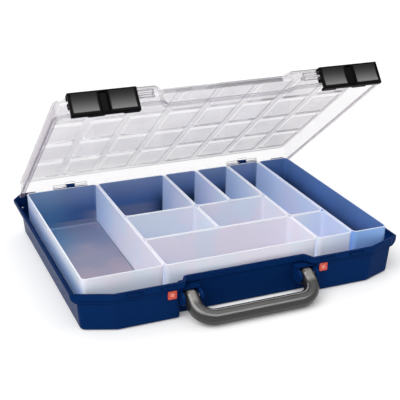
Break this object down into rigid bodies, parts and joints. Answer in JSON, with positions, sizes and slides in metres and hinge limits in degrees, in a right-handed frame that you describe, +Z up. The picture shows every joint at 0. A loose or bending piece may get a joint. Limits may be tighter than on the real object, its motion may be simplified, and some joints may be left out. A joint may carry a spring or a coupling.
{
  "type": "assortment case",
  "caption": "Flat carry case with a chamfered moulded tray, a hinged clear lid with sliding latches, a swing handle and loose open bins for small parts.",
  "frame": {"origin": "on the underside of the tray, below the centre of the bin field", "axes": "+Z up out of the tray, +X to the right seen from the handle side, -Y towards the handle"},
  "size_m": [0.337, 0.2813, 0.2078],
  "materials": {
    "tray": "smooth moulded, satin gloss",
    "lid": "clear, polished",
    "bin": "translucent, satin",
    "latch": "matt with satin panels",
    "handle": "smooth, glossy",
    "mark": "smooth",
    "pin": "plain drawn"
  },
  "bodies": {
    "base": {"base_shell": "tray", "hinge_pin_left": "pin", "hinge_pin_right": "pin", "handle_pin_left": "pin", "handle_pin_right": "pin", "lock_mark_left": "mark", "lock_mark_right": "mark"},
    "lid": {"lid_shell": "lid"},
    "latch_left": {"latch_left": "latch"},
    "latch_right": {"latch_right": "latch"},
    "handle": {"carry_handle": "handle"},
    "bin_long_wide": {"bin_long_wide": "bin"},
    "bin_back_wide": {"bin_back_wide": "bin"},
    "bin_back_narrow_left": {"bin_back_narrow_left": "bin"},
    "bin_back_narrow_right": {"bin_back_narrow_right": "bin"},
    "bin_medium_narrow": {"bin_medium_narrow": "bin"},
    "bin_long_narrow": {"bin_long_narrow": "bin"},
    "bin_middle_left": {"bin_middle_left": "bin"},
    "bin_middle_right": {"bin_middle_right": "bin"},
    "bin_front_wide": {"bin_front_wide": "bin"},
    "bin_front_small": {"bin_front_small": "bin"}
  },
  "joints": [
    {"name": "lid_hinge", "type": "hinge", "parent": "base", "child": "lid", "pos_m": [0, 0.1235, 0.044], "axis": [-1, 0, 0], "range_deg": [-38, 67]},
    {"name": "latch_left_slide", "type": "slide", "parent": "lid", "child": "latch_left", "axis": [-1, 0, 0], "range_m": [-0.016, 0]},
    {"name": "latch_right_slide", "type": "slide", "parent": "lid", "child": "latch_right", "axis": [1, 0, 0], "range_m": [-0.016, 0]},
    {"name": "handle_swing", "type": "hinge", "parent": "base", "child": "handle", "pos_m": [0, -0.124, 0.0205], "axis": [-1, 0, 0], "range_deg": [0, 58]},
    {"name": "bin_long_wide_lift", "type": "slide", "parent": "base", "child": "bin_long_wide", "axis": [0, 0, 1], "range_m": [0, 0.014]},
    {"name": "bin_back_wide_lift", "type": "slide", "parent": "base", "child": "bin_back_wide", "axis": [0, 0, 1], "range_m": [0, 0.014]},
    {"name": "bin_back_narrow_left_lift", "type": "slide", "parent": "base", "child": "bin_back_narrow_left", "axis": [0, 0, 1], "range_m": [0, 0.014]},
    {"name": "bin_back_narrow_right_lift", "type": "slide", "parent": "base", "child": "bin_back_narrow_right", "axis": [0, 0, 1], "range_m": [0, 0.014]},
    {"name": "bin_medium_narrow_lift", "type": "slide", "parent": "base", "child": "bin_medium_narrow", "axis": [0, 0, 1], "range_m": [0, 0.014]},
    {"name": "bin_long_narrow_lift", "type": "slide", "parent": "base", "child": "bin_long_narrow", "axis": [0, 0, 1], "range_m": [0, 0.014]},
    {"name": "bin_middle_left_lift", "type": "slide", "parent": "base", "child": "bin_middle_left", "axis": [0, 0, 1], "range_m": [0, 0.06]},
    {"name": "bin_middle_right_lift", "type": "slide", "parent": "base", "child": "bin_middle_right", "axis": [0, 0, 1], "range_m": [0, 0.06]},
    {"name": "bin_front_wide_lift", "type": "slide", "parent": "base", "child": "bin_front_wide", "axis": [0, 0, 1], "range_m": [0, 0.06]},
    {"name": "bin_front_small_lift", "type": "slide", "parent": "base", "child": "bin_front_small", "axis": [0, 0, 1], "range_m": [0, 0.06]}
  ]
}
